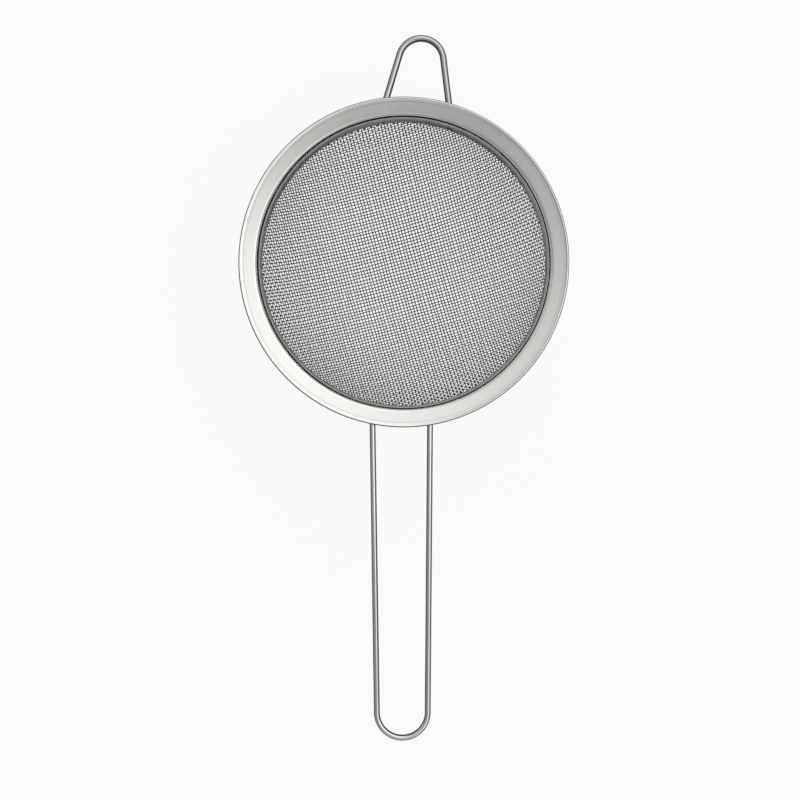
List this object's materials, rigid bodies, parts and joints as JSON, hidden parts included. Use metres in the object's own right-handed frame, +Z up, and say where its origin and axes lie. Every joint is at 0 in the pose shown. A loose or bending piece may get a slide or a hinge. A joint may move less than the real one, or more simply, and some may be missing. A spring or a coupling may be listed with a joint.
{
  "type": "mesh strainer",
  "caption": "Round kitchen strainer: a bowl of woven wire cloth clamped in a wide sheet-metal rim, with a long wire loop handle and a short wire hook opposite for resting on a pot.",
  "frame": {"origin": "centre of the flat at the bottom of the bowl, where it meets the table", "axes": "+Z up through the open mouth, rim level; handle toward -Y, hook toward +Y, +X to the right as seen from above with the hook at the top"},
  "size_m": [0.14, 0.2996, 0.05],
  "materials": {
    "polished_sheet": "bright rolled stainless sheet, lightly satin",
    "band_sheet": "satin stainless strip",
    "cloth_steel": "drawn stainless wire, woven",
    "wire_steel": "bright drawn stainless wire",
    "weld_metal": "matt weld metal with a slight heat tint"
  },
  "bodies": {
    "root": {"rim_ring": "polished_sheet", "clamp_band": "band_sheet", "mesh_bowl": "cloth_steel", "handle_wire": "wire_steel", "hook_wire": "wire_steel", "handle_weld_left": "weld_metal", "handle_weld_right": "weld_metal", "hook_weld_left": "weld_metal", "hook_weld_right": "weld_metal"}
  },
  "joints": []
}
